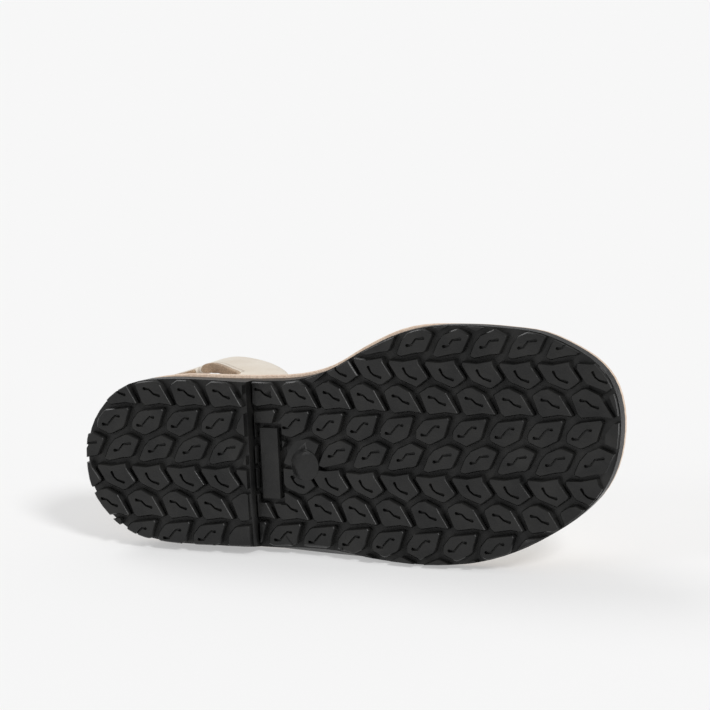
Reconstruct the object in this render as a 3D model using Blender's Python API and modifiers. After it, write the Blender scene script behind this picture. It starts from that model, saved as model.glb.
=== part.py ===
"""A left avarca sandal in a child's size: lugged rubber outsole, leather midsole and insole, vamp and sling strap.

It is modelled standing: x runs from the back of the heel to the toe, y towards the outer side of the foot and
z up from the ground. At the end the whole shoe is laid down on its outer side, where it comes to rest.
Run it with: blender --background --python part.py
"""

import math

import bmesh
import bpy
import numpy as np
from mathutils import Matrix, Vector
from mathutils.bvhtree import BVHTree

MM = 0.001
WELD = 0.02 * MM

# Sole
SOLE_LENGTH = 178.3 * MM
BALL_WIDTH = 73.4 * MM
SOLE_THICKNESS = 7.0 * MM
HEEL_LIFT = 4.5 * MM
HEEL_LENGTH = 56.0 * MM
TOE_SPRING = 3.0 * MM
MIDSOLE_THICKNESS = 1.6 * MM
MIDSOLE_EDGE = 0.2 * MM
MIDSOLE_PROUD = 1.1 * MM
INSOLE_THICKNESS = 1.8 * MM
INSOLE_EDGE = 1.4 * MM
POCKET_RAMP = 4.0 * MM

# Tread
LUG_PITCH = 12.17 * MM
LUG_PERIOD = 35.35 * MM
LUG_HEIGHT = 2.2 * MM
LUG_ROOT = 0.6 * MM
LUG_EDGE = 0.25 * MM
LUG_LEAST = 0.8 * MM
STEP_GROOVE = 0.8 * MM
LUG_START = 5.5 * MM
LUG_MIDDLE = 39.7 * MM
BAR_WIDTH = 6.0 * MM
BAR_LENGTH = 22.0 * MM
BAR_GROOVE = 1.6 * MM
BAR_SETBACK = 3.0 * MM
DISC_RADIUS = 4.9 * MM
DISC_AHEAD = 18.4 * MM
DISC_PROUD = 0.2 * MM

# Upper
VAMP_WALL = 2.2 * MM
INSTEP_HEIGHT = 43.5 * MM
STRAP_WALL = 2.9 * MM
STRAP_WIDTH = 17.6 * MM
STRAP_HEIGHT = 40.0 * MM
UPPER_EDGE = 0.7 * MM
GAP = 0.3 * MM
MIDSOLE_TOP = SOLE_THICKNESS + GAP + MIDSOLE_THICKNESS

RUBBER_DENSITY = 1150.0
LEATHER_DENSITY = 900.0

# Outline of the sole's top edge, heel to toe. along is a share of SOLE_LENGTH, outer and inner are distances from
# the middle line of the heel as shares of BALL_WIDTH, and each lean says how far the wall spreads out on its way
# down, as a share of that way.
OUTLINE = [
    dict(along=0.000, outer=0.000, inner=0.000, outer_lean=0.05, inner_lean=0.05),
    dict(along=0.008, outer=0.127, inner=0.127, outer_lean=0.05, inner_lean=0.05),
    dict(along=0.038, outer=0.233, inner=0.237, outer_lean=0.05, inner_lean=0.05),
    dict(along=0.086, outer=0.313, inner=0.320, outer_lean=0.04, inner_lean=0.05),
    dict(along=0.151, outer=0.346, inner=0.341, outer_lean=0.02, inner_lean=0.08),
    dict(along=0.236, outer=0.360, inner=0.341, outer_lean=-0.04, inner_lean=0.10),
    dict(along=0.320, outer=0.377, inner=0.343, outer_lean=-0.18, inner_lean=0.03),
    dict(along=0.398, outer=0.387, inner=0.357, outer_lean=-0.42, inner_lean=-0.04),
    dict(along=0.466, outer=0.392, inner=0.402, outer_lean=-0.45, inner_lean=-0.02),
    dict(along=0.533, outer=0.395, inner=0.489, outer_lean=-0.18, inner_lean=-0.05),
    dict(along=0.600, outer=0.401, inner=0.561, outer_lean=-0.10, inner_lean=-0.02),
    dict(along=0.667, outer=0.399, inner=0.598, outer_lean=-0.05, inner_lean=0.04),
    dict(along=0.740, outer=0.377, inner=0.606, outer_lean=-0.02, inner_lean=0.06),
    dict(along=0.808, outer=0.327, inner=0.598, outer_lean=0.00, inner_lean=0.06),
    dict(along=0.869, outer=0.255, inner=0.578, outer_lean=0.02, inner_lean=0.08),
    dict(along=0.925, outer=0.165, inner=0.520, outer_lean=0.06, inner_lean=0.10),
    dict(along=0.966, outer=0.063, inner=0.450, outer_lean=0.08, inner_lean=0.12),
    dict(along=0.991, outer=-0.067, inner=0.357, outer_lean=0.10, inner_lean=0.12),
    dict(along=1.000, outer=-0.223, inner=0.223, outer_lean=0.12, inner_lean=0.12),
]
OUTLINE_STEPS = 3

# Side profile, as shares of SOLE_LENGTH.
BALL_AT = 0.655
SPRING_FROM = 0.715
PROUD_FROM = 0.08
PROUD_TO = 0.72
PROUD_RAMP = 0.12

# The tread's four rows, one lug shape each, repeat towards the outer side. down is a share of LUG_PERIOD, shift
# a share of LUG_PITCH. Corners are shares of LUG_PITCH along the shoe and of a row's mean width towards the
# inner side, from the lug's middle.
LUG_ROWS = [
    dict(name="flared", down=0.0, shift=0.0),
    dict(name="notched", down=0.2753, shift=-0.182),
    dict(name="peaked", down=0.5021, shift=-0.489),
    dict(name="hooked", down=0.7661, shift=-0.692),
]
LUG_PERIOD_SHIFT = -0.403
LUG_CORNERS = {
    "flared": [
        (0.14, 0.487),
        (0.50, 0.273),
        (0.255, -0.371),
        (0.0, -0.406),
        (-0.40, -0.533),
        (-0.56, -0.464),
        (-0.385, 0.035),
        (-0.22, 0.284),
    ],
    "notched": [
        (-0.57, 0.464),
        (-0.185, 0.423),
        (0.235, 0.533),
        (0.26, 0.348),
        (0.515, -0.151),
        (0.17, -0.481),
        (-0.34, -0.209),
        (-0.585, 0.325),
    ],
    "peaked": [
        (-0.47, 0.255),
        (-0.215, 0.470),
        (-0.04, 0.504),
        (0.28, 0.290),
        (0.61, -0.475),
        (0.245, -0.417),
        (-0.19, -0.510),
        (-0.29, -0.394),
    ],
    "hooked": [
        (-0.18, 0.377),
        (0.50, 0.487),
        (0.54, 0.400),
        (0.36, -0.261),
        (-0.04, -0.522),
        (-0.42, -0.296),
        (-0.40, 0.023),
    ],
}

# Top line of the foot over the insole. along is a share of SOLE_LENGTH, height a share of INSTEP_HEIGHT, and
# ridge says how far across from the outer side the highest point lies.
INSTEP = [
    dict(along=0.36, height=1.10, ridge=0.50),
    dict(along=0.45, height=0.96, ridge=0.52),
    dict(along=0.55, height=0.80, ridge=0.54),
    dict(along=0.65, height=0.66, ridge=0.56),
    dict(along=0.75, height=0.55, ridge=0.58),
    dict(along=0.85, height=0.46, ridge=0.60),
    dict(along=0.96, height=0.36, ridge=0.60),
]
# The vamp's two free edges, as shares of SOLE_LENGTH: at the sole on the outer side, over the foot, and at the
# sole on the inner side.
THROAT_EDGE = dict(outer=0.375, ridge=0.512, inner=0.375)
TOE_EDGE = dict(outer=0.924, ridge=0.832, inner=0.954)
VAMP_ROOT_ANGLE = math.radians(14.0)
VAMP_ROWS = 11
VAMP_COLUMNS = 22

# The sling strap's middle line, from the outer side round the heel to the inner side. along is a share of
# SOLE_LENGTH, across a share of the sole's half width there, rise a share of STRAP_HEIGHT, lean the angle of the
# strap's width above the level, and flare how far its upper edge stands out past its lower, as a share of its width.
STRAP = [
    dict(along=0.308, across=1.00, rise=0.00, lean=0.0, flare=0.00),
    dict(along=0.305, across=1.00, rise=0.10, lean=8.0, flare=0.00),
    dict(along=0.251, across=0.99, rise=0.36, lean=40.0, flare=0.00),
    dict(along=0.190, across=0.97, rise=0.59, lean=48.0, flare=0.00),
    dict(along=0.117, across=0.90, rise=0.78, lean=58.0, flare=0.00),
    dict(along=0.039, across=0.72, rise=0.93, lean=74.0, flare=0.00),
    dict(along=0.009, across=0.42, rise=0.98, lean=84.0, flare=0.00),
    dict(along=0.002, across=0.00, rise=1.00, lean=90.0, flare=0.00),
    dict(along=0.009, across=-0.38, rise=0.98, lean=84.0, flare=0.00),
    dict(along=0.039, across=-0.71, rise=0.93, lean=74.0, flare=-0.03),
    dict(along=0.117, across=-0.92, rise=0.78, lean=58.0, flare=0.20),
    dict(along=0.190, across=-1.03, rise=0.59, lean=48.0, flare=0.00),
    dict(along=0.251, across=-1.04, rise=0.36, lean=40.0, flare=-0.03),
    dict(along=0.305, across=-1.02, rise=0.10, lean=8.0, flare=-0.03),
    dict(along=0.308, across=-1.00, rise=0.00, lean=0.0, flare=0.00),
]
STRAP_STEPS = 3
STRAP_COLUMNS = 3
ROUND_HEEL_TO = 0.20

OUTER, INNER = 1, -1


def column(table, name):
    """One named column of a table, as an array."""
    return np.array([row[name] for row in table], float)


def ease(share):
    """0 to 1 with a level start and end."""
    share = np.clip(share, 0.0, 1.0)
    return share * share * (3.0 - 2.0 * share)


def smooth_through(points, before, after, steps):
    """A Catmull-Rom curve through the points, with steps samples for each stretch."""
    padded = np.vstack([before, points, after])
    samples = []
    for i in range(1, len(padded) - 2):
        a, b, c, d = padded[i - 1 : i + 3]
        for t in np.arange(steps) / steps:
            line = 2 * b + (c - a) * t + (2 * a - 5 * b + 4 * c - d) * t**2 + (3 * b - a - 3 * c + d) * t**3
            samples.append(line / 2)
    samples.append(padded[-2])
    return np.array(samples)


def lift(x):
    """How far the tread stands off the ground at x: over the arch, and over the toe spring."""
    breast, ball, spring = HEEL_LENGTH, BALL_AT * SOLE_LENGTH, SPRING_FROM * SOLE_LENGTH
    arch = HEEL_LIFT * ease((ball - x) / (ball - breast))
    toe = np.clip((x - spring) / (SOLE_LENGTH - spring), 0.0, None)
    return arch + TOE_SPRING * toe**2


def side_curve(side):
    """The top edge of one side from heel tip to toe tip: columns x, y and the wall's lean."""
    x = column(OUTLINE, "along") * SOLE_LENGTH
    edges = {OUTER: column(OUTLINE, "outer"), INNER: -column(OUTLINE, "inner")}
    leans = {OUTER: column(OUTLINE, "outer_lean"), INNER: column(OUTLINE, "inner_lean")}
    here = np.column_stack([x, edges[side] * BALL_WIDTH, leans[side]])
    there = np.column_stack([x, edges[-side] * BALL_WIDTH, leans[-side]])
    curve = smooth_through(here, there[1], there[-2], OUTLINE_STEPS)
    for x in (HEEL_LENGTH - LUG_EDGE, HEEL_LENGTH, HEEL_LENGTH + STEP_GROOVE):
        at = int(np.searchsorted(curve[:, 0], x))
        share = (x - curve[at - 1, 0]) / (curve[at, 0] - curve[at - 1, 0])
        between = curve[at - 1] + share * (curve[at] - curve[at - 1])
        curve = np.insert(curve, at, between, axis=0)
    return curve


def row_at(x):
    """The number of the row that was put into the outline at x."""
    return int(np.abs(side_curve(OUTER)[:, 0] - x).argmin())


def outline(inset):
    """Both sides of the outline moved in by inset(side, x, lean)."""
    curves = {side: side_curve(side) for side in (OUTER, INNER)}
    moved = {}
    for side in (OUTER, INNER):
        curve, other = curves[side], curves[-side]
        ahead = np.vstack([curve[1:, :2], other[-2:-1, :2]])
        behind = np.vstack([other[1:2, :2], curve[:-1, :2]])
        along = ahead - behind
        inwards = np.column_stack([along[:, 1], -along[:, 0]]) * side
        inwards /= np.linalg.norm(inwards, axis=1)[:, None]
        move = inset(side, curve[:, 0], curve[:, 2])
        moved[side] = curve[:, :2] + inwards * move[:, None]
    return moved


def overhang(side, x):
    """How far the leather stands out past the rubber: only on the inner side, between the heel and the ball."""
    rise = ease((x / SOLE_LENGTH - PROUD_FROM) / PROUD_RAMP) * ease((PROUD_TO - x / SOLE_LENGTH) / PROUD_RAMP)
    return MIDSOLE_PROUD * rise * (side == INNER)


def edge_at(side, x, inset):
    """y of the leather's edge at x, moved in by inset."""
    curve = side_curve(side)
    return np.interp(x, curve[:, 0], curve[:, 1]) + side * (overhang(side, x) - inset)


def wall_inset(z, room=0.0):
    """Inset of the leaning wall at height z of the flat sole, and room more."""
    return lambda side, x, lean: room - lean * (SOLE_THICKNESS - z)


def level(mesh, curves, z, first=0, last=None):
    """A row of vertices down each side of the outline at height z. The two sides share their tips."""
    rows = {}
    count = len(curves[OUTER])
    last = count - 1 if last is None else last
    for side in (OUTER, INNER):
        rows[side] = {}
        for k in range(first, last + 1):
            shared = side == INNER and k in (0, count - 1)
            x, y = curves[side][k]
            rows[side][k] = rows[OUTER][k] if shared else mesh.verts.new((x, y, z))
    return rows


def face(mesh, *corners):
    """A face on these corners, leaving out repeats."""
    kept = list(dict.fromkeys(corners))
    if len(kept) > 2:
        mesh.faces.new(kept)


def wall(mesh, upper, lower, first, last):
    """The faces between two levels on both sides."""
    for side in (OUTER, INNER):
        for k in range(first, last):
            u, v = upper[side], lower[side]
            face(mesh, u[k], u[k + 1], v[k + 1], v[k])


def cap(mesh, rows, first, last):
    """The faces from side to side of one level."""
    for k in range(first, last):
        face(mesh, rows[OUTER][k], rows[OUTER][k + 1], rows[INNER][k + 1], rows[INNER][k])


def cross_face(mesh, upper, lower, k):
    """The face across the shoe at row k, between two levels."""
    face(mesh, upper[OUTER][k], upper[INNER][k], lower[INNER][k], lower[OUTER][k])


def finish_mesh(mesh, name):
    """Turns the faces outwards, cuts them into triangles and gives an object."""
    bmesh.ops.recalc_face_normals(mesh, faces=mesh.faces[:])
    bmesh.ops.triangulate(mesh, faces=mesh.faces[:])
    data = bpy.data.meshes.new(name)
    mesh.to_mesh(data)
    mesh.free()
    return bpy.data.objects.new(name, data)


def material(name, colour, roughness):
    """A plain Principled material."""
    made = bpy.data.materials.new(name)
    made.use_nodes = True
    shader = made.node_tree.nodes["Principled BSDF"]
    shader.inputs["Base Color"].default_value = (*colour, 1.0)
    shader.inputs["Roughness"].default_value = roughness
    shader.inputs["Metallic"].default_value = 0.0
    made.diffuse_color = (*colour, 1.0)
    return made


def sole_body():
    """The flat outsole without its lugs: a slab with the heel block under its back."""
    mesh = bmesh.new()
    floor, heel_floor = LUG_HEIGHT, LUG_HEIGHT - HEEL_LIFT
    breast = row_at(HEEL_LENGTH)
    last = len(side_curve(OUTER)) - 1
    top = level(mesh, outline(wall_inset(SOLE_THICKNESS)), SOLE_THICKNESS)
    middle = level(mesh, outline(wall_inset(floor)), floor)
    bottom = level(mesh, outline(wall_inset(heel_floor)), heel_floor, 0, breast)
    cap(mesh, top, 0, last)
    wall(mesh, top, middle, 0, last)
    cap(mesh, middle, breast, last)
    wall(mesh, middle, bottom, 0, breast)
    cap(mesh, bottom, 0, breast)
    cross_face(mesh, middle, bottom, breast)
    return finish_mesh(mesh, "outsole_blank")


def tread_limit(name, ground, first, last):
    """The space that the lugs between two rows of the outline may fill, just inside the sole's wall."""
    mesh = bmesh.new()
    levels = []
    for z in (ground + LUG_HEIGHT + 2 * LUG_ROOT, ground - LUG_ROOT):
        levels.append(level(mesh, outline(wall_inset(z, LUG_EDGE)), z, first, last))
    cap(mesh, levels[0], first, last)
    cap(mesh, levels[1], first, last)
    wall(mesh, levels[0], levels[1], first, last)
    breast = last if first == 0 else first
    cross_face(mesh, levels[0], levels[1], breast)
    return finish_mesh(mesh, name)


def prism(mesh, corners, low, high):
    """An upright prism on a flat outline."""
    rim = [mesh.verts.new((x, y, low)) for x, y in corners]
    base = mesh.faces.new(rim)
    raised = bmesh.ops.extrude_face_region(mesh, geom=[base])["geom"]
    moved = [v for v in raised if isinstance(v, bmesh.types.BMVert)]
    bmesh.ops.translate(mesh, verts=moved, vec=(0.0, 0.0, high - low))


def lug_middles():
    """(row name, x, y) of each lug that can reach the sole."""
    half = BALL_WIDTH + LUG_PERIOD
    periods = int(half / LUG_PERIOD) + 1
    copies = int(SOLE_LENGTH / LUG_PITCH) + 3
    for period in range(-1, periods + 1):
        for row in LUG_ROWS:
            y = (row["down"] + period) * LUG_PERIOD - LUG_MIDDLE
            start = LUG_START + (row["shift"] + period * LUG_PERIOD_SHIFT) * LUG_PITCH
            start -= math.floor(start / LUG_PITCH) * LUG_PITCH
            for i in range(-1, copies):
                yield row["name"], start + i * LUG_PITCH, y


def lug_blank(name, ground, from_x, to_x):
    """Every lug that reaches well over the sole between two places along it, before the outline trims them."""
    mesh = bmesh.new()
    curves = {side: side_curve(side) for side in (OUTER, INNER)}
    row_width = LUG_PERIOD / len(LUG_ROWS)
    for kind, x, y in lug_middles():
        corners = [(x + a * LUG_PITCH, y - b * row_width) for a, b in LUG_CORNERS[kind]]
        xs = np.array([corner[0] for corner in corners])
        ys = np.array([corner[1] for corner in corners])
        seen = np.clip(xs, 0.0, SOLE_LENGTH)
        outer = np.interp(seen, curves[OUTER][:, 0], curves[OUTER][:, 1])
        inner = np.interp(seen, curves[INNER][:, 0], curves[INNER][:, 1])
        inside = (ys < outer - LUG_LEAST) & (ys > inner + LUG_LEAST) & (xs > from_x) & (xs < to_x)
        if inside.any():
            prism(mesh, corners, ground, ground + LUG_HEIGHT + LUG_ROOT)
    return finish_mesh(mesh, name)


def box_between(name, low, high):
    """A box from one corner to the other."""
    mesh = bmesh.new()
    bmesh.ops.create_cube(mesh, size=1.0)
    size = Vector(high) - Vector(low)
    bmesh.ops.scale(mesh, vec=size, verts=mesh.verts[:])
    bmesh.ops.translate(mesh, vec=(Vector(high) + Vector(low)) / 2, verts=mesh.verts[:])
    return finish_mesh(mesh, name)


def bar_box(name, margin, low, high):
    """The plain bar ahead of the heel, or with a margin the groove round it."""
    start = HEEL_LENGTH + BAR_SETBACK
    corner = (start - margin, -BAR_LENGTH / 2 - margin, low)
    return box_between(name, corner, (start + BAR_WIDTH + margin, BAR_LENGTH / 2 + margin, high))


def plain_disc():
    """The plain round pad ahead of the bar."""
    mesh = bmesh.new()
    height = LUG_HEIGHT + LUG_ROOT + DISC_PROUD
    bmesh.ops.create_cone(
        mesh, cap_ends=True, segments=28, radius1=DISC_RADIUS, radius2=DISC_RADIUS, depth=height
    )
    middle = (HEEL_LENGTH + DISC_AHEAD, 0.0, height / 2 - DISC_PROUD)
    bmesh.ops.translate(mesh, vec=middle, verts=mesh.verts[:])
    return finish_mesh(mesh, "plain_disc")


def join_by(base, operation, *others):
    """Adds a Boolean modifier for each of the others."""
    for other in others:
        step = base.modifiers.new(other.name, "BOOLEAN")
        step.operation = operation
        step.solver = "EXACT"
        step.object = other


def keep_as_tool(collection, *objects):
    """Links cutters and blanks where they don't render."""
    for obj in objects:
        collection.objects.link(obj)
        obj.hide_render = True
        obj.display_type = "WIRE"


def outsole(tools):
    """The rubber outsole: slab, heel block and lugs joined while flat, then bent to the last."""
    body = sole_body()
    last = len(side_curve(OUTER)) - 1
    margin = LUG_PITCH
    front = lug_blank("front_lugs", 0.0, HEEL_LENGTH - margin, SOLE_LENGTH + margin)
    front_limit = tread_limit("front_limit", 0.0, row_at(HEEL_LENGTH + STEP_GROOVE), last)
    back = lug_blank("heel_lugs", -HEEL_LIFT, -margin, HEEL_LENGTH + margin)
    back_limit = tread_limit("heel_limit", -HEEL_LIFT, 0, row_at(HEEL_LENGTH - LUG_EDGE))
    groove = bar_box("bar_groove", BAR_GROOVE, -LUG_ROOT, LUG_HEIGHT + 2 * LUG_ROOT)
    bar = bar_box("plain_bar", 0.0, 0.0, LUG_HEIGHT + LUG_ROOT)
    disc = plain_disc()
    keep_as_tool(tools, body, front, front_limit, back, back_limit, groove, bar, disc)
    join_by(front, "INTERSECT", front_limit)
    join_by(front, "DIFFERENCE", groove)
    join_by(back, "INTERSECT", back_limit)
    join_by(body, "UNION", front, back, bar, disc)
    graph = bpy.context.evaluated_depsgraph_get()
    data = bpy.data.meshes.new_from_object(body.evaluated_get(graph))
    mesh = bmesh.new()
    mesh.from_mesh(data)
    bmesh.ops.remove_doubles(mesh, verts=mesh.verts[:], dist=WELD)
    bmesh.ops.holes_fill(mesh, edges=mesh.edges[:], sides=3)
    bend(mesh)
    return finish_mesh(mesh, "outsole")


def bend(mesh):
    """Raises each point by the lift of the sole under it."""
    for vertex in mesh.verts:
        vertex.co.z += float(lift(vertex.co.x))


def midsole_inset(side, x, lean):
    """The leather midsole is flush with the rubber or stands out past it."""
    return MIDSOLE_EDGE - overhang(side, x)


def insole_inset(side, x, lean):
    """The insole lies just inside the midsole's edge and further in where the upper stands beside it."""
    toe_edge = TOE_EDGE["outer"] if side == OUTER else TOE_EDGE["inner"]
    start = STRAP[0]["along"] * SOLE_LENGTH - STRAP_WIDTH / 2 - POCKET_RAMP - 2 * MM
    end = toe_edge * SOLE_LENGTH + GAP
    beside = ease((x - start) / POCKET_RAMP) * ease((end + POCKET_RAMP - x) / POCKET_RAMP)
    pocket = UPPER_EDGE + max(VAMP_WALL, STRAP_WALL) + 2 * GAP
    return INSOLE_EDGE + (pocket - INSOLE_EDGE) * beside - overhang(side, x)


def leather_layer(name, inset, low, thickness):
    """A flat layer of leather on the sole's outline, bent with the sole."""
    mesh = bmesh.new()
    curves = outline(inset)
    last = len(curves[OUTER]) - 1
    bottom = level(mesh, curves, low)
    top = level(mesh, curves, low + thickness)
    cap(mesh, top, 0, last)
    cap(mesh, bottom, 0, last)
    wall(mesh, top, bottom, 0, last)
    bend(mesh)
    return finish_mesh(mesh, name)


def grid_sheet(name, points, wall_thickness):
    """An open sheet through a grid of points, thickened inwards."""
    mesh = bmesh.new()
    verts = [[mesh.verts.new(p) for p in row] for row in points]
    for i in range(len(verts) - 1):
        for j in range(len(verts[0]) - 1):
            face(mesh, verts[i][j], verts[i][j + 1], verts[i + 1][j + 1], verts[i + 1][j])
    bend(mesh)
    data = bpy.data.meshes.new(name)
    mesh.to_mesh(data)
    mesh.free()
    sheet = bpy.data.objects.new(name, data)
    thick = sheet.modifiers.new("wall", "SOLIDIFY")
    thick.thickness = wall_thickness
    thick.offset = -1.0
    thick.use_even_offset = True
    return sheet


def vamp_edge(edge, share):
    """x of a free edge of the vamp at a share of the way over the foot."""
    ends = edge["outer"] + (edge["inner"] - edge["outer"]) * share
    return (ends + (edge["ridge"] - ends) * math.sin(math.pi * share) ** 1.5) * SOLE_LENGTH


def vamp_point(x, share):
    """A point of the vamp's outer face, on the arch over the foot at x."""
    base = MIDSOLE_TOP + GAP + INSOLE_THICKNESS + GAP
    along = column(INSTEP, "along") * SOLE_LENGTH
    height = float(np.interp(x, along, column(INSTEP, "height"))) * INSTEP_HEIGHT
    ridge = float(np.interp(x, along, column(INSTEP, "ridge")))
    outer = float(edge_at(OUTER, x, UPPER_EDGE))
    inner = float(edge_at(INNER, x, UPPER_EDGE))
    middle = outer + (inner - outer) * ridge
    angle = VAMP_ROOT_ANGLE + (math.pi - 2 * VAMP_ROOT_ANGLE) * share
    reach = math.cos(angle) / math.cos(VAMP_ROOT_ANGLE)
    y = middle + (outer - middle) * reach if reach > 0 else middle - (inner - middle) * reach
    root = math.sin(VAMP_ROOT_ANGLE)
    rise = (math.sin(angle) - root) / (1.0 - root)
    return (x, y, base + height * rise)


def vamp():
    """The open-toed front of the upper: upright beside the insole, then arched over the foot."""
    points = []
    for i in range(VAMP_ROWS + 1):
        row = []
        for j in range(VAMP_COLUMNS + 1):
            share = j / VAMP_COLUMNS
            start, end = vamp_edge(THROAT_EDGE, share), vamp_edge(TOE_EDGE, share)
            row.append(vamp_point(start + (end - start) * i / VAMP_ROWS, share))
        feet = [(x, y, MIDSOLE_TOP + GAP) for x, y, _ in (row[0], row[-1])]
        points.append([feet[0], *row, feet[1]])
    return grid_sheet("vamp", points, VAMP_WALL)


def strap_rows():
    """Place, share of the sole's half width, height, lean and flare of the strap's middle line at each sample."""
    table = np.column_stack([column(STRAP, name) for name in ("along", "across", "rise", "lean", "flare")])
    before, after = 2 * table[0] - table[1], 2 * table[-1] - table[-2]
    for along, across, rise, lean, flare in smooth_through(table, before, after, STRAP_STEPS):
        yield along * SOLE_LENGTH, across, max(rise, 0.0) * STRAP_HEIGHT, math.radians(max(lean, 0.0)), flare


def strap_point(x, across, z, lean, flare, reach):
    """A point of the strap's outer face, reach from its middle line."""
    side = OUTER if across > 0 else INNER
    here = x + reach * math.cos(lean)
    half = abs(float(edge_at(side, max(here, ROUND_HEEL_TO * SOLE_LENGTH), UPPER_EDGE)))
    y = across * half + side * flare * reach
    return (here, y, MIDSOLE_TOP + GAP + z + reach * math.sin(lean))


def strap():
    """The sling strap, round the back of the heel from one edge of the sole to the other."""
    reaches = [STRAP_WIDTH * (0.5 - j / STRAP_COLUMNS) for j in range(STRAP_COLUMNS + 1)]
    points = [[strap_point(*row, reach) for reach in reaches] for row in strap_rows()]
    return grid_sheet("sling_strap", points, STRAP_WALL)


def solid_of(obj):
    """The object's evaluated mesh as a bmesh in world space."""
    graph = bpy.context.evaluated_depsgraph_get()
    mesh = bmesh.new()
    mesh.from_mesh(bpy.data.meshes.new_from_object(obj.evaluated_get(graph)))
    mesh.transform(obj.matrix_world)
    return mesh


def centre_and_mass(mesh, density):
    """Centre of mass and mass of a closed solid, summed over its triangles."""
    bmesh.ops.triangulate(mesh, faces=mesh.faces[:])
    corners = np.array([[v.co[:] for v in f.verts] for f in mesh.faces])
    volumes = np.linalg.det(corners) / 6
    centre = (corners.sum(axis=1) / 4 * volumes[:, None]).sum(axis=0) / volumes.sum()
    return centre, volumes.sum() * density


def lying_pose(objects):
    """The turn that lays the standing shoe down on its outer side, on the facet of its hull that holds it."""
    hull = bmesh.new()
    moment, mass = np.zeros(3), 0.0
    for obj, density in objects.items():
        solid = solid_of(obj)
        centre, weight = centre_and_mass(solid, density)
        moment += centre * weight
        mass += weight
        for vertex in solid.verts:
            hull.verts.new(vertex.co)
        solid.free()
    bmesh.ops.convex_hull(hull, input=hull.verts[:])
    loose = [v for v in hull.verts if not v.link_faces]
    bmesh.ops.delete(hull, geom=loose, context="VERTS")
    tree = BVHTree.FromBMesh(hull)
    centre = Vector(moment / mass)
    down = Vector((0.0, 1.0, 0.0))
    for _ in range(len(hull.faces)):
        _, normal, _, _ = tree.ray_cast(centre, down)
        normal = normal if normal.dot(down) > 0 else -normal
        if normal.angle(down) < 1e-4:
            break
        down = normal
    hull.free()
    forward = (Vector((1.0, 0.0, 0.0)) - down * down.x).normalized()
    aside = (-down).cross(forward)
    return Matrix((forward, aside, -down)).to_4x4()


def stand_on_origin(root, objects):
    """Moves the laid shoe so that the middle of the bottom of its box is at the origin."""
    bpy.context.view_layer.update()
    points = []
    for obj in objects:
        solid = solid_of(obj)
        points += [vertex.co[:] for vertex in solid.verts]
        solid.free()
    low, high = np.min(points, axis=0), np.max(points, axis=0)
    root.location -= Vector(((low[0] + high[0]) / 2, (low[1] + high[1]) / 2, low[2]))


def main():
    for obj in list(bpy.data.objects):
        bpy.data.objects.remove(obj)
    sandal = bpy.data.collections.new("avarca_sandal")
    tools = bpy.data.collections.new("cutters")
    bpy.context.scene.collection.children.link(sandal)
    bpy.context.scene.collection.children.link(tools)
    rubber = material("black_rubber", (0.022, 0.022, 0.024), 0.55)
    nude = material("nude_leather", (0.76, 0.64, 0.55), 0.6)
    tan = material("tan_leather", (0.62, 0.47, 0.34), 0.65)
    pieces = {
        outsole(tools): (RUBBER_DENSITY, rubber),
        leather_layer("midsole", midsole_inset, SOLE_THICKNESS + GAP, MIDSOLE_THICKNESS): (LEATHER_DENSITY, tan),
        leather_layer("insole", insole_inset, MIDSOLE_TOP + GAP, INSOLE_THICKNESS): (LEATHER_DENSITY, tan),
        vamp(): (LEATHER_DENSITY, nude),
        strap(): (LEATHER_DENSITY, nude),
    }
    root = bpy.data.objects.new("lying_shoe", None)
    sandal.objects.link(root)
    for obj, (_, finish) in pieces.items():
        sandal.objects.link(obj)
        obj.data.materials.append(finish)
        obj.data.shade_smooth()
        obj.data.set_sharp_from_angle(angle=math.radians(35.0))
    bpy.context.view_layer.update()
    pose = lying_pose({obj: density for obj, (density, _) in pieces.items()})
    for obj in pieces:
        obj.parent = root
    root.rotation_mode = "QUATERNION"
    root.rotation_quaternion = pose.to_quaternion()
    stand_on_origin(root, list(pieces))
    bpy.context.view_layer.update()


main()
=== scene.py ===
# %% [markdown]
# # A left avarca sandal, lying on its outer side
#
# An avarca is a plain leather sandal on a thick rubber sole: an open-toed vamp over the front of the
# foot, and a sling strap round the heel. The shapes that carry load are already made in CAD. This
# lesson gives them their looks: chamfered lugs with fine cuts in them, soft leather with a raw edge,
# and a pale studio.

import math

import bmesh
import bpy
from mathutils import Euler, Matrix, Vector


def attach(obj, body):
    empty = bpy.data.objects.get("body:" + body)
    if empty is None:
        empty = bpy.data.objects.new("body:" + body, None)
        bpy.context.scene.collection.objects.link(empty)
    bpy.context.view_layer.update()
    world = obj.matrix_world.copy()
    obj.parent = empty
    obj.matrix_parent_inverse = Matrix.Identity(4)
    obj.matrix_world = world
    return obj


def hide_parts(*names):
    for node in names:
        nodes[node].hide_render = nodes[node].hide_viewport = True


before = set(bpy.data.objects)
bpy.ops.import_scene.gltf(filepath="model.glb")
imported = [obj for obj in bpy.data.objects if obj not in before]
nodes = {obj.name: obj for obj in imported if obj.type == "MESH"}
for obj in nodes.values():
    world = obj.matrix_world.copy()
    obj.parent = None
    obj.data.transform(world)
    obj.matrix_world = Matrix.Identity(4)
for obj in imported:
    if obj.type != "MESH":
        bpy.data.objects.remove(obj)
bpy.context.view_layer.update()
print("nodes:", ", ".join(sorted(nodes)))

# %% [markdown]
# The shoe was drawn standing, with x from heel to toe, y towards the outer side of the foot and z up,
# and then laid on its outer side. Detail is far easier to place on a standing shoe, so one matrix takes
# us from standing to lying and its inverse takes us back.

# %% The lying pose
MM = 0.001
LEAN = math.radians(4.470)
SWING = math.radians(1.1265)
PLACE = Vector((-0.08903, -0.03012, 0.02781))

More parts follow.
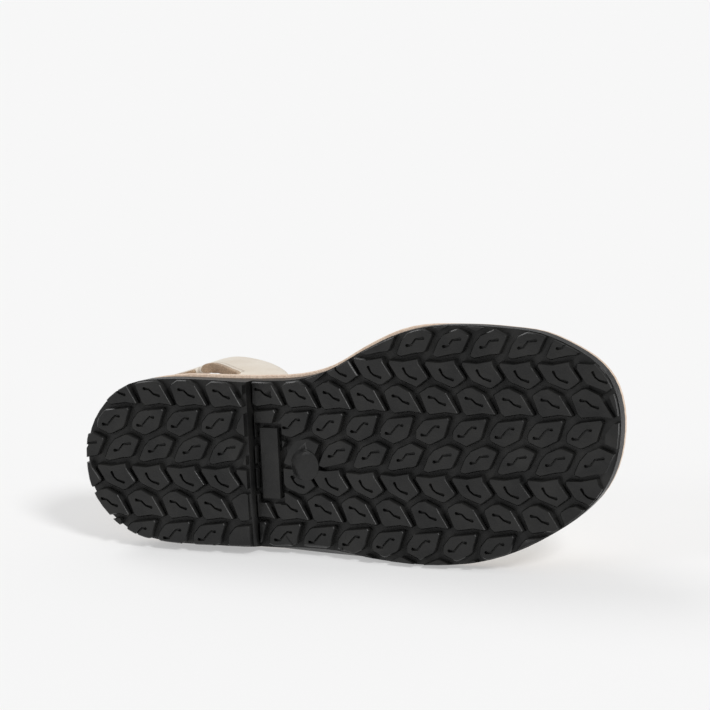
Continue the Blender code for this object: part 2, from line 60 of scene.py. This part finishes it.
turned = Matrix.Rotation(-SWING, 4, "Y") @ Matrix.Rotation(-math.radians(90) - LEAN, 4, "X")
to_lying = Matrix.Translation(PLACE) @ turned
to_standing = to_lying.inverted()
print("tread looks towards", [round(n, 3) for n in turned @ Vector((0, 0, -1))])

# %% [markdown]
# The tread isn't flat: it rises over the arch ahead of the heel block and again towards the toe. The
# same small formula that bends the CAD sole tells us how high the tread is at any place along the shoe.

# %% How the sole bends
SOLE_LENGTH = 178.3 * MM
HEEL_LIFT = 4.5 * MM
HEEL_LENGTH = 56.0 * MM
TOE_SPRING = 3.0 * MM
BALL = 0.655 * SOLE_LENGTH
SPRING = 0.715 * SOLE_LENGTH
LUG_HEIGHT = 2.2 * MM


def lift(x):
    share = min(max((BALL - x) / (BALL - HEEL_LENGTH), 0.0), 1.0)
    arch = HEEL_LIFT * share * share * (3 - 2 * share)
    return arch + TOE_SPRING * max((x - SPRING) / (SOLE_LENGTH - SPRING), 0.0) ** 2


def ground(x):
    """Height of the tread: the heel block stands on the floor, the rest follows the bend."""
    return 0.0 if x < HEEL_LENGTH else lift(x)


print("tread height under the arch: %.1f mm" % (ground(HEEL_LENGTH + MM) / MM))

# %% [markdown]
# A CAD mesh arrives as loose triangles. To work on it we take a copy, stand it up, merge its corners
# and dissolve the flat triangles back into whole faces. That gives every lug one clean top face with
# clean edges.

# %% Copy a CAD node
MERGE_REACH = 0.01 * MM


def standing_copy(name, flatness):
    mesh = bmesh.new()
    mesh.from_mesh(nodes[name].data)
    mesh.transform(to_standing)
    bmesh.ops.remove_doubles(mesh, verts=mesh.verts[:], dist=MERGE_REACH)
    bmesh.ops.dissolve_limit(
        mesh, angle_limit=math.radians(flatness), verts=mesh.verts[:], edges=mesh.edges[:]
    )
    return mesh


def finished(mesh, name, smooth_angle=35.0):
    """Lays the bmesh down again and makes a smooth-shaded piece of it in the scene."""
    mesh.transform(to_lying)
    data = bpy.data.meshes.new(name)
    mesh.to_mesh(data)
    mesh.free()
    piece = bpy.data.objects.new(name, data)
    bpy.context.scene.collection.objects.link(piece)
    data.shade_smooth()
    data.set_sharp_from_angle(angle=math.radians(smooth_angle))
    return piece


tread = standing_copy("outsole", 1.5)
print("outsole copy:", len(tread.faces), "faces")

# %% [markdown]
# Moulded rubber has no knife edges. The rims of the lugs are chamfered, and it is this narrow chamfer
# that catches the light in a row of thin bright lines. The upright corners of the lugs are rounded
# first, then we pick the edges between a lug's top and its sides, and bevel them. Steps less than
# 0.3 mm tall get a finer chamfer. Beside the plain bar and the plain disc ahead of the heel, and at the
# tip of the toe, there is no room for a lug's chamfer and the edges stay sharp.

# %% Round the lugs
CORNER_ROUND = 0.8 * MM
LUG_ROUND = 0.34 * MM
LUG_SIDE = 1.9 * MM
PLAIN_END = HEEL_LENGTH + 12 * MM
PLAIN_HALF = 14 * MM
SMALL_TOP = 8 * MM * MM
PAD_ROUND = 0.12 * MM

# Along the shoe from and to, and half the width; and the place along the shoe and the radius.
BAR = (HEEL_LENGTH + 2.7 * MM, HEEL_LENGTH + 9.3 * MM, 11.3 * MM)
DISC = (HEEL_LENGTH + 18.4 * MM, 5.6 * MM)
DISC_ROOM = 8 * MM
TOE_TIP = 168 * MM

TOP_REACH = 0.35 * MM
FOOT_REACH = 0.3 * MM
UPRIGHT_LEAST = 1.2 * MM
SHARP_TURN = 0.6
LUG_TALL, RIM_LEAST = 0.9 * MM, 0.25 * MM
PAD_TALL, PAD_RIM_LEAST = 0.3 * MM, 0.5 * MM


def rounded(mesh, edges, size, segments):
    bmesh.ops.bevel(
        mesh, geom=edges, offset=size, affect="EDGES", segments=segments, profile=0.5, material=-1,
        clamp_overlap=False,
    )


def tall(face):
    heights = [vertex.co.z for vertex in face.verts]
    return max(heights) - min(heights)


def is_top(face):
    centre = face.calc_center_median()
    return face.normal.z < -0.9 and centre.z - ground(centre.x) < TOP_REACH


def left_sharp(point):
    """The places too cramped for a chamfer: beside the bar, the disc and the tip of the toe."""
    beside_bar = HEEL_LENGTH - MM < point.x < PLAIN_END and abs(point.y) < PLAIN_HALF
    beside_disc = math.hypot(point.x - DISC[0], point.y) < DISC_ROOM
    return beside_bar or beside_disc or point.x > TOE_TIP


def upright_corners(mesh):
    """The upright edges at the sharp outward corners of the lugs."""
    corners = []
    for edge in mesh.edges:
        along = edge.verts[1].co - edge.verts[0].co
        slanted = abs(along.z) < 0.9 * along.length
        if len(edge.link_faces) != 2 or slanted or along.length < UPRIGHT_LEAST:
            continue
        low = min(edge.verts, key=lambda vertex: vertex.co.z).co
        blunt = not edge.is_convex or edge.calc_face_angle() < SHARP_TURN
        if low.z - ground(low.x) > FOOT_REACH or blunt or left_sharp(low):
            continue
        others = [other for vertex in edge.verts for other in vertex.link_edges if other != edge]
        if min(other.calc_length() for other in others) > LUG_SIDE:
            corners.append(edge)
    return corners


uprights = upright_corners(tread)
rounded(tread, uprights, CORNER_ROUND, 2)
tops = {face for face in tread.faces if is_top(face)}
rims, pad_rims = [], []
for edge in tread.edges:
    sides = [face for face in edge.link_faces if face not in tops]
    if len(edge.link_faces) != 2 or len(sides) != 1 or abs(sides[0].normal.z) > 0.5:
        continue
    top_area = sum(face.calc_area() for face in edge.link_faces if face in tops)
    cramped = top_area < SMALL_TOP or left_sharp(edge.verts[0].co)
    if tall(sides[0]) > LUG_TALL and edge.calc_length() > RIM_LEAST and not cramped:
        rims.append(edge)
    elif tall(sides[0]) < PAD_TALL and edge.calc_length() > PAD_RIM_LEAST:
        pad_rims.append(edge)
rounded(tread, pad_rims, PAD_ROUND, 1)
rims = [edge for edge in rims if edge.is_valid]
rounded(tread, rims, LUG_ROUND, 1)
print("lug tops:", len(tops), "upright corners:", len(uprights))
print("chamfered edges:", len(rims), len(pad_rims))

# %% [markdown]
# Nearly every lug has one fine cut in it, a sipe, shaped like a lazy S with a round hole at each end. It
# lets the rubber flex and drains water. The lugs repeat in four rows, so four little paths are enough.
# Each path becomes a narrow flat shape, wider at its ends, that is pushed into the rubber.

# %% The cuts in the lugs
LUG_PITCH = 12.17 * MM
LUG_PERIOD = 35.35 * MM
LUG_START = 5.5 * MM
LUG_MIDDLE = 39.7 * MM
PERIOD_SHIFT = -0.403
CUT_WIDTH = 0.65 * MM
CUT_END = 1.15 * MM
CUT_DEPTH = 1.1 * MM
END_TURNS = (-130, -65, 0, 65, 130)

# down and shift place a row; the path's points are in millimetres from the lug's middle, towards the
# toe and towards the inner side of the foot.
CUT_ROWS = [
    dict(down=0.0, shift=0.0, path=[(-2.7, -1.2), (-1.2, -1.0), (0.3, 0.8), (2.8, 1.2)]),
    dict(down=0.2753, shift=-0.182, path=[(-2.0, 1.4), (-1.3, 0.0), (-0.2, -0.9), (2.0, -1.5)]),
    dict(down=0.5021, shift=-0.489, path=[(-2.3, 1.0), (-0.6, 0.8), (0.9, -0.6), (2.8, -1.1)]),
    dict(down=0.7661, shift=-0.692,
         path=[(-2.8, -1.3), (-1.2, -1.4), (0.5, 0.5), (1.7, 1.5), (2.8, 1.4)]),
]


def cut_outline(path):
    """The points round a narrow path, wider at both ends."""
    points = [Vector(place) * MM for place in path]
    ways = [b - a for a, b in zip(points, points[2:])]
    aside = [Vector((-way.y, way.x)).normalized() * CUT_WIDTH / 2 for way in ways]

    def end(point, out):
        turns = (Matrix.Rotation(math.radians(degrees), 2) for degrees in END_TURNS)
        return [point + turn @ out.normalized() * CUT_END / 2 for turn in turns]

    there = [point - side for point, side in zip(points[1:-1], aside)]
    back = [point + side for point, side in zip(points[1:-1], aside)]
    start = end(points[0], points[0] - points[1])
    finish = end(points[-1], points[-1] - points[-2])
    return start + there + finish + back[::-1]


def lug_middles():
    for row in CUT_ROWS:
        for period in range(-1, 4):
            y = (row["down"] + period) * LUG_PERIOD - LUG_MIDDLE
            start = LUG_START + (row["shift"] + period * PERIOD_SHIFT) * LUG_PITCH
            start -= math.floor(start / LUG_PITCH) * LUG_PITCH
            for i in range(-1, 17):
                yield row["path"], start + i * LUG_PITCH, y


print("places in the lattice:", sum(1 for _ in lug_middles()))

# %% [markdown]
# A cut is only made where nearly half of it or more falls on the top of a lug. A ray from below finds
# out what lies over a place: the top of a lug, the floor of a groove, or nothing at all past the edge of
# the sole. The plain bar and disc ahead of the heel are left uncut, and so are the lugs that the heel's
# step crosses.

# %% Push the cuts in
from mathutils.bvhtree import BVHTree

RAY_START = -20 * MM
UNDER_FLOOR = 0.6 * MM
LEAST_SHARE = 0.45
CUT_START = 0.4 * MM

tread_tree = BVHTree.FromBMesh(tread)


def on_a_lug(x, y):
    hit = tread_tree.ray_cast(Vector((x, y, RAY_START)), Vector((0, 0, 1)))[0]
    return hit is not None and hit.z < ground(x) + UNDER_FLOOR


def kept_plain(x, y):
    in_bar = BAR[0] < x < BAR[1] and abs(y) < BAR[2]
    in_disc = math.hypot(x - DISC[0], y) < DISC[1]
    return in_bar or in_disc


cutter = bmesh.new()
cuts = 0
for path, middle_x, middle_y in lug_middles():
    spots = [(middle_x + p.x, middle_y - p.y) for p in cut_outline(path)]
    over_the_step = min(x for x, y in spots) < HEEL_LENGTH < max(x for x, y in spots)
    if over_the_step or any(kept_plain(*spot) for spot in spots):
        continue
    if sum(on_a_lug(*spot) for spot in spots) < LEAST_SHARE * len(spots):
        continue
    low = [cutter.verts.new((x, y, ground(x) - CUT_START)) for x, y in spots]
    raised = bmesh.ops.extrude_face_region(cutter, geom=[cutter.faces.new(low)])["geom"]
    top = [vertex for vertex in raised if isinstance(vertex, bmesh.types.BMVert)]
    bmesh.ops.translate(cutter, verts=top, vec=(0, 0, CUT_START + CUT_DEPTH))
    cuts += 1
bmesh.ops.recalc_face_normals(cutter, faces=cutter.faces[:])
print("cuts:", cuts)


def evaluated_mesh(piece):
    """The mesh of a piece with its modifiers applied."""
    graph = bpy.context.evaluated_depsgraph_get()
    return bpy.data.meshes.new_from_object(piece.evaluated_get(graph))


def apply_modifiers(piece):
    made = evaluated_mesh(piece)
    piece.modifiers.clear()
    old, piece.data = piece.data, made
    name = piece.name
    bpy.data.meshes.remove(old)
    made.name = name
    return piece


sole = finished(tread, "tread_rubber")
cutting = finished(cutter, "cutting_tool")
step = sole.modifiers.new("cuts", "BOOLEAN")
step.operation = "DIFFERENCE"
step.solver = "EXACT"
step.object = cutting
apply_modifiers(sole)
sole.data.shade_smooth()
sole.data.set_sharp_from_angle(angle=math.radians(20))
bpy.data.objects.remove(cutting)
print("sole after the cuts:", len(sole.data.polygons), "faces")

# %% [markdown]
# The side wall of the sole is combed with fine lines that run along the shoe and follow its bend, and
# the chamfers are a little smoother than the rest. Both get a material slot of their own, and a UV map
# says how far along and how high each corner is, so that the lines follow the bend instead of a straight
# axis.
#
# A known fault: the face normals read here are still those of the lying shoe. So the combed slot falls
# on the walls at heel and toe, on the hidden top side and on some groove floors, and not on the long
# walls, and the smooth slot falls on about a quarter of the chamfers and on a few other small faces.

# %% Map the wall
WALL_SLOT, RIM_SLOT = 1, 2
WALL_LEAST = 0.4 * MM * MM
UV_SIZE = 100 * MM


def flat_height(point):
    return point.z - lift(point.x)


def map_sole(piece):
    mesh = bmesh.new()
    mesh.from_mesh(piece.data)
    mesh.transform(to_standing)
    layer = mesh.loops.layers.uv.new("round_and_up")
    walls = 0
    for face in mesh.faces:
        middle = face.calc_center_median()
        sunk = HEEL_LIFT if middle.x < HEEL_LENGTH - MM else 0.0
        over_lugs = flat_height(middle) > LUG_HEIGHT - sunk
        if abs(face.normal.z) < 0.6 and over_lugs and face.calc_area() > WALL_LEAST:
            face.material_index = WALL_SLOT
            walls += 1
        elif 0.55 < -face.normal.z < 0.85 and middle.z - ground(middle.x) < UNDER_FLOOR:
            face.material_index = RIM_SLOT
        for loop in face.loops:
            place = loop.vert.co
            loop[layer].uv = (place.x / UV_SIZE, flat_height(place) / UV_SIZE)
    mesh.transform(to_lying)
    mesh.to_mesh(piece.data)
    mesh.free()
    return walls


print("wall faces:", map_sole(sole))

# %% [markdown]
# The vamp and the strap are thick soft leather, cut and left raw. We copy the CAD sheets, pair their
# triangles back into a grid of four-sided faces, and sort the faces into the outer side, the lining side
# and the cut edge, because each shows a different part of the hide. The strap's front edge is finished
# like its outer side, and only its rear edge shows the brown core. Two small reshapes are made on the
# way: the strap's root is thickened towards the foot, and the vamp's front inner corner is drawn in.
# Then the cut edges are rounded and the grid is subdivided so that it curves smoothly like leather.

# %% Soften the leather
OUTER_SLOT, LINING_SLOT, EDGE_SLOT = 0, 1, 2
WALL_ROOM = 3.2 * MM
EDGE_ROUND = 0.45 * MM
JUST_INSIDE = 0.05 * MM
PAD_AT, PAD_REACH, PAD_TOP, PAD_DEPTH = 33 * MM, 9 * MM, 31 * MM, 1.3 * MM
PAD_FADE = 5 * MM
CORNER_FROM, CORNER_REACH, CORNER_SIDE, CORNER_DRAW = 156 * MM, 10 * MM, -20 * MM, 1.3 * MM
HEEL_CENTRE = 30 * MM
FOOT_SIDE, FOOT_HEIGHT = -8 * MM, 14 * MM


def sort_sides(mesh, outwards, folded_front):
    tree = BVHTree.FromBMesh(mesh)
    for face in mesh.faces:
        middle = face.calc_center_median()
        inside = middle - face.normal * JUST_INSIDE
        through = tree.ray_cast(inside, -face.normal)[3]
        at_edge = through is None or through > WALL_ROOM
        if at_edge and not (folded_front and face.normal.x + face.normal.z > 0):
            face.material_index = EDGE_SLOT
        elif at_edge or outwards(middle).dot(face.normal) > 0:
            face.material_index = OUTER_SLOT
        else:
            face.material_index = LINING_SLOT


def pad_root(mesh):
    """Thickens the strap a little towards the foot, just above where it leaves the sole."""
    for vertex in mesh.verts:
        place = vertex.co
        near = max(0.0, 1 - abs(place.x - PAD_AT) / PAD_REACH)
        low = min(max((PAD_TOP - place.z) / PAD_FADE, 0.0), 1.0)
        if place.y < 0 and vertex.normal.y > 0.1:
            place.y += PAD_DEPTH * low * math.sin(near * math.pi / 2)


def leather_sheet(node, name, outwards, folded_front, reshape):
    mesh = bmesh.new()
    mesh.from_mesh(nodes[node].data)
    mesh.transform(to_standing)
    bmesh.ops.remove_doubles(mesh, verts=mesh.verts[:], dist=MERGE_REACH)
    bmesh.ops.join_triangles(
        mesh, faces=mesh.faces[:], angle_face_threshold=math.radians(40),
        angle_shape_threshold=math.radians(60),
    )
    reshape(mesh)
    sort_sides(mesh, outwards, folded_front)
    rims = []
    for edge in mesh.edges:
        kinds = {face.material_index for face in edge.link_faces}
        if EDGE_SLOT in kinds and len(kinds) > 1:
            rims.append(edge)
    bmesh.ops.bevel(
        mesh, geom=rims, offset=EDGE_ROUND, affect="EDGES", segments=2, profile=0.5,
        material=EDGE_SLOT, clamp_overlap=True,
    )
    piece = finished(mesh, name, 180.0)
    smooth = piece.modifiers.new("smooth", "SUBSURF")
    smooth.levels = smooth.render_levels = 2
    apply_modifiers(piece)
    print(name, len(piece.data.polygons), "faces")
    return piece


def from_the_heel(point):
    return Vector((point.x - HEEL_CENTRE, point.y, 0))


def from_the_foot(point):
    return Vector((0, point.y - FOOT_SIDE, point.z - FOOT_HEIGHT))


def trim_toe_corner(mesh):
    """Draws the vamp's front inner corner in, so that it stays behind the edge of the sole."""
    for vertex in mesh.verts:
        along = min(max((vertex.co.x - CORNER_FROM) / CORNER_REACH, 0.0), 1.0)
        if vertex.co.y < CORNER_SIDE:
            vertex.co.y += CORNER_DRAW * along


strap = leather_sheet("sling_strap", "strap_leather", from_the_heel, True, pad_root)
vamp = leather_sheet("vamp", "vamp_leather", from_the_foot, False, trim_toe_corner)

# %% [markdown]
# A pressed line runs close along the cut edges of the strap and the vamp. To draw it in the material we
# store, at every corner of the mesh, how far that corner is from the nearest cut edge. The value is the
# same from any side, so the line stays where it is when the camera moves.

# %% Measure from the cut edge
from mathutils.kdtree import KDTree

ROOT_HEIGHT = 17.0 * MM


def measure_from_edge(piece):
    """Stores the distance in millimetres, leaving out the edges that are fixed down at the sole."""
    data = piece.data
    at_edge = set()
    for polygon in data.polygons:
        if polygon.material_index == EDGE_SLOT and (to_standing @ polygon.center).z > ROOT_HEIGHT:
            at_edge.update(polygon.vertices)
    tree = KDTree(len(at_edge))
    for i in at_edge:
        tree.insert(data.vertices[i].co, i)
    tree.balance()
    room = data.attributes.new("from_edge", "FLOAT", "POINT")
    for vertex in data.vertices:
        room.data[vertex.index].value = tree.find(vertex.co)[2] / MM
    print(piece.name, "cut edge points:", len(at_edge))


measure_from_edge(strap)
measure_from_edge(vamp)

# %% [markdown]
# The two flat layers, midsole and insole, only need softened corners. The midsole is the thin pale line
# between the rubber and the foot; the insole is the smooth tan leather that the foot stands on.

# %% Midsole and insole
CORNER_TURN = 1.0


def leather_layer(node, name, rounding):
    mesh = standing_copy(node, 1.0)
    paired = [edge for edge in mesh.edges if len(edge.link_faces) == 2]
    corners = [edge for edge in paired if edge.calc_face_angle() > CORNER_TURN]
    bmesh.ops.bevel(
        mesh, geom=corners, offset=rounding, affect="EDGES", segments=3, profile=0.5, material=-1,
        clamp_overlap=True,
    )
    piece = finished(mesh, name, 40.0)
    print(name, len(piece.data.polygons), "faces,", len(corners), "corners rounded")
    return piece


midsole = leather_layer("midsole", "midsole_leather", 0.35 * MM)
insole = leather_layer("insole", "insole_leather", 0.5 * MM)

# %% [markdown]
# ## Materials
#
# Each material is a small tree of nodes on one Principled shader. Patterns come from noise and cells in
# the shoe's own coordinates, so they have a real size in millimetres. A helper keeps each tree short to
# read.

# %% A helper for node trees


class Finish:
    def __init__(self, name, roughness):
        self.material = bpy.data.materials.new(name)
        self.material.use_nodes = True
        self.nodes = self.material.node_tree.nodes
        self.links = self.material.node_tree.links
        self.shader = self.nodes["Principled BSDF"]
        self.shader.inputs["Roughness"].default_value = roughness
        self.place = self.nodes.new("ShaderNodeTexCoord").outputs["Object"]

    def link(self, output, entry):
        self.links.new(output, entry)

    def noise(self, size, detail=4.0, roughness=0.55, along=None):
        """Noise whose features are about this many metres across."""
        node = self.nodes.new("ShaderNodeTexNoise")
        node.inputs["Scale"].default_value = 1.0 / size
        node.inputs["Detail"].default_value = detail
        node.inputs["Roughness"].default_value = roughness
        self.link(along or self.place, node.inputs["Vector"])
        return node.outputs["Fac"]

    def cells(self, size):
        node = self.nodes.new("ShaderNodeTexVoronoi")
        node.inputs["Scale"].default_value = 1.0 / size
        self.link(self.place, node.inputs["Vector"])
        return node.outputs["Distance"]

    def maths(self, operation, a, b):
        node = self.nodes.new("ShaderNodeMath")
        node.operation = operation
        for entry, value in zip(node.inputs, (a, b)):
            if isinstance(value, (int, float)):
                entry.default_value = value
            else:
                self.link(value, entry)
        return node.outputs[0]

    def ramp(self, factor, *stops):
        node = self.nodes.new("ShaderNodeValToRGB")
        elements = node.color_ramp.elements
        while len(elements) < len(stops):
            elements.new(0.5)
        for element, (position, colour) in zip(elements, stops):
            element.position = position
            element.color = (*colour, 1.0)
        self.link(factor, node.inputs["Fac"])
        return node.outputs["Color"]

    def mixed(self, factor, a, b):
        node = self.nodes.new("ShaderNodeMix")
        node.data_type = "RGBA"
        colours = [entry for entry in node.inputs if entry.type == "RGBA"]
        for entry, value in ((node.inputs["Factor"], factor), (colours[0], a), (colours[1], b)):
            if isinstance(value, tuple):
                entry.default_value = (*value, 1.0)
            else:
                self.link(value, entry)
        return [out for out in node.outputs if out.type == "RGBA"][0]

    def attribute(self, name):
        node = self.nodes.new("ShaderNodeAttribute")
        node.attribute_name = name
        return node.outputs["Fac"]

    def colour(self, output):
        self.link(output, self.shader.inputs["Base Color"])

    def rough(self, output):
        self.link(output, self.shader.inputs["Roughness"])

    def relief(self, *layers):
        """Bumps laid one on another, each a height from 0 to 1 and how tall that is in metres."""
        normal = None
        for height, metres in layers:
            bump = self.nodes.new("ShaderNodeBump")
            bump.inputs["Strength"].default_value = 1.0
            bump.inputs["Distance"].default_value = metres
            self.link(height, bump.inputs["Height"])
            if normal:
                self.link(normal, bump.inputs["Normal"])
            normal = bump.outputs["Normal"]
        self.link(normal, self.shader.inputs["Normal"])

    def span(self, value, low, high, start=0.0, end=1.0):
        node = self.nodes.new("ShaderNodeMapRange")
        node.inputs["From Min"].default_value = low
        node.inputs["From Max"].default_value = high
        node.inputs["To Min"].default_value = start
        node.inputs["To Max"].default_value = end
        self.link(value, node.inputs["Value"])
        return node.outputs["Result"]


print("finish helper ready")

# %% [markdown]
# Black rubber is not black: moulded rubber shows a dark grey with a soft sheen, slightly cloudy from
# handling, with a very fine grain and a shallow mottle. The combed rubber has lines about half a
# millimetre apart as well, and the polished rubber is a little smoother.

# %% Rubber
RUBBER = (0.006, 0.0061, 0.0061)
RUBBER_WORN = (0.015, 0.0147, 0.014)
DULL, POLISHED = (0.33, 0.42), (0.26, 0.31)


def rubber(name, combed=False, polished=False):
    finish = Finish(name, 0.5)
    cloud = finish.noise(9 * MM, 5.0)
    grain = finish.noise(0.35 * MM, 3.0)
    mottle = finish.noise(1.3 * MM, 3.0)
    finish.colour(finish.ramp(cloud, (0.35, RUBBER), (0.75, RUBBER_WORN)))
    finish.rough(finish.span(cloud, 0.3, 0.7, *(POLISHED if polished else DULL)))
    layers = [(grain, 0.04 * MM), (mottle, 0.08 * MM), (cloud, 0.3 * MM)]
    if combed:
        uv = finish.nodes.new("ShaderNodeUVMap")
        uv.uv_map = "round_and_up"
        stretch = finish.nodes.new("ShaderNodeMapping")
        stretch.inputs["Scale"].default_value = (4.0, 260.0, 1.0)
        finish.link(uv.outputs["UV"], stretch.inputs["Vector"])
        combs = finish.noise(1.0, 3.0, 0.6, along=stretch.outputs["Vector"])
        layers.append((combs, 0.16 * MM))
        finish.rough(finish.span(combs, 0.3, 0.7, 0.32, 0.55))
    finish.relief(*layers)
    finish.shader.inputs["Specular IOR Level"].default_value = 0.32
    return finish.material


sole.data.materials.append(rubber("moulded_rubber"))
sole.data.materials.append(rubber("combed_rubber", combed=True))
sole.data.materials.append(rubber("polished_rubber", polished=True))
print("rubber:", [slot.name for slot in sole.data.materials])

# %% [markdown]
# The leather is a pale nude hide. Its outer side has a fine pebbled grain and a faint pressed line
# beside the edge, the lining side is a little darker and fibrous, and the cut edge shows the brown core
# of the hide in short fibres.

# %% Leather
NUDE = (0.78, 0.715, 0.62)
NUDE_SHADE = (0.71, 0.625, 0.52)
LINING = (0.63, 0.50, 0.385)
LINING_SHADE = (0.52, 0.39, 0.28)
CORE = (0.24, 0.145, 0.08)
CORE_PALE = (0.52, 0.37, 0.235)
LINE_AT = 1.3
LINE_STRENGTH = 0.35


def grain_leather(name, light, dark, lined):
    finish = Finish(name, 0.58)
    cloud = finish.noise(14 * MM, 4.0)
    pebbles = finish.cells(0.8 * MM)
    pores = finish.noise(0.3 * MM, 2.0)
    base = finish.ramp(cloud, (0.3, dark), (0.62, light))
    layers = [(pebbles, 0.07 * MM), (pores, 0.03 * MM), (cloud, 0.4 * MM)]
    if lined:
        gap = finish.attribute("from_edge")
        away = finish.maths("ABSOLUTE", finish.maths("SUBTRACT", gap, LINE_AT), 0.0)
        line = finish.span(away, 0.12, 0.34, 1.0, 0.0)
        base = finish.mixed(finish.maths("MULTIPLY", line, LINE_STRENGTH), base, LINING_SHADE)
        layers.append((finish.maths("SUBTRACT", 1.0, line), 0.25 * MM))
    finish.colour(base)
    finish.rough(finish.span(pebbles, 0.1, 0.7, 0.52, 0.68))
    finish.relief(*layers)
    finish.shader.inputs["Sheen Weight"].default_value = 0.12
    finish.shader.inputs["Sheen Roughness"].default_value = 0.5
    return finish.material


def fibre_leather(name, light, dark, size, depth):
    finish = Finish(name, 0.85)
    fibres = finish.noise(size, 6.0, 0.7)
    cloud = finish.noise(6 * MM, 3.0)
    fine, broad = finish.maths("MULTIPLY", fibres, 0.75), finish.maths("MULTIPLY", cloud, 0.25)
    blend = finish.maths("ADD", fine, broad)
    finish.colour(finish.ramp(blend, (0.38, dark), (0.6, light)))
    finish.relief((fibres, depth))
    finish.shader.inputs["Sheen Weight"].default_value = 0.25
    return finish.material


nude = grain_leather("nude_hide", NUDE, NUDE_SHADE, True)
lining = fibre_leather("hide_lining", LINING, LINING_SHADE, 0.9 * MM, 0.12 * MM)
core = fibre_leather("hide_core", CORE_PALE, CORE, 0.5 * MM, 0.3 * MM)
for piece in (strap, vamp):
    for finish in (nude, lining, core):
        piece.data.materials.append(finish)
print("leather on", strap.name, "and", vamp.name)

# %% [markdown]
# The insole is a darker tan with the same fine grain and no pressed line. The midsole is the same hide
# seen mostly on its cut edge, paler and rougher.

# %% Insole and midsole finish
TAN = (0.60, 0.44, 0.31)
TAN_SHADE = (0.50, 0.35, 0.235)
EDGE_TAN = (0.80, 0.65, 0.52)
EDGE_SHADE = (0.60, 0.44, 0.33)

insole.data.materials.append(grain_leather("tan_hide", TAN, TAN_SHADE, False))
cut_edge = fibre_leather("tan_cut_edge", EDGE_TAN, EDGE_SHADE, 0.7 * MM, 0.15 * MM)
midsole.data.materials.append(cut_edge)
print("tan leather on", insole.name, "and", midsole.name)

# %% [markdown]
# Every new piece says which CAD solid it stands for and rides on the shoe's one body, and that solid is
# hidden.

# %% Put the pieces on the shoe's body
for piece, node, slot in (
    (sole, "outsole", "black_rubber"),
    (midsole, "midsole", "tan_leather"),
    (insole, "insole", "tan_leather"),
    (vamp, "vamp", "nude_leather"),
    (strap, "sling_strap", "nude_leather"),
):
    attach(piece, "root")
    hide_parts(node)
    print(piece.name, "stands for", node)

# %% [markdown]
# ## Studio
#
# A product picture like this one is shot on a white table under a very large soft light. The floor is
# one wide pale sheet that glows faintly, so that it stays nearly white, and the world gives even light
# from all round. Three soft suns do the rest: a broad high one, a weak one from the left, and the
# strongest and narrowest one, which draws the bright lug rims.

# %% Floor
FLOOR_HALF = 8.0
PAPER_GREY = 0.52
PAPER_GLOW = 0.395

floor_mesh = bmesh.new()
bmesh.ops.create_grid(floor_mesh, x_segments=1, y_segments=1, size=FLOOR_HALF)
floor_data = bpy.data.meshes.new("studio_floor")
floor_mesh.to_mesh(floor_data)
floor_mesh.free()
floor = bpy.data.objects.new("studio_floor", floor_data)
bpy.context.scene.collection.objects.link(floor)
pale = bpy.data.materials.new("pale_paper")
pale.use_nodes = True
paper = pale.node_tree.nodes["Principled BSDF"].inputs
paper["Base Color"].default_value = (PAPER_GREY, PAPER_GREY, PAPER_GREY, 1.0)
paper["Roughness"].default_value = 0.9
paper["Specular IOR Level"].default_value = 0.0
paper["Emission Color"].default_value = (1.0, 1.0, 1.0, 1.0)
paper["Emission Strength"].default_value = PAPER_GLOW
floor_data.materials.append(pale)
print("floor laid")

# %% Light
ROOM_LIGHT = 0.40

world = bpy.data.worlds.new("soft_room")
bpy.context.scene.world = world
world.use_nodes = True
background = world.node_tree.nodes["Background"].inputs
background["Color"].default_value = (1.0, 1.0, 1.0, 1.0)
background["Strength"].default_value = ROOM_LIGHT


def sun(name, strength, softness, heading, height):
    """A soft sun that shines from a heading, counted from +X, and a height, both in degrees."""
    data = bpy.data.lights.new(name, "SUN")
    data.energy = strength
    data.angle = math.radians(softness)
    lamp = bpy.data.objects.new(name, data)
    bpy.context.scene.collection.objects.link(lamp)
    lamp.rotation_euler = Euler((0.0, math.radians(90 - height), math.radians(heading)))


sun("high_light", 0.9, 30.0, 150.0, 45.0)
sun("left_light", 0.4, 20.0, -135.0, 25.0)
sun("rim_light", 2.0, 12.0, -37.0, 36.0)

# %% [markdown]
# The camera stands low in front of the tread, a little towards the toe, and far away with a long lens,
# as the picture's camera did. Its place was found by matching the heel, the toe and the rows of lugs.

# %% Camera
LENS = 229.0
CAMERA_PLACE = (0.59107, -1.22106, 0.37995)
CAMERA_TURN = (76.6393, 3.6652, 25.2729)

camera_data = bpy.data.cameras.new("camera")
camera_data.lens = LENS
camera_data.sensor_width = 36.0
camera = bpy.data.objects.new("camera", camera_data)
bpy.context.scene.collection.objects.link(camera)
camera.location = CAMERA_PLACE
camera.rotation_euler = [math.radians(turn) for turn in CAMERA_TURN]
camera_data.clip_end = 50.0
bpy.context.scene.camera = camera
bpy.context.scene.view_settings.view_transform = "Standard"
print("camera is %.2f m from the shoe" % camera.location.length)

# %% Finish
bpy.context.view_layer.update()
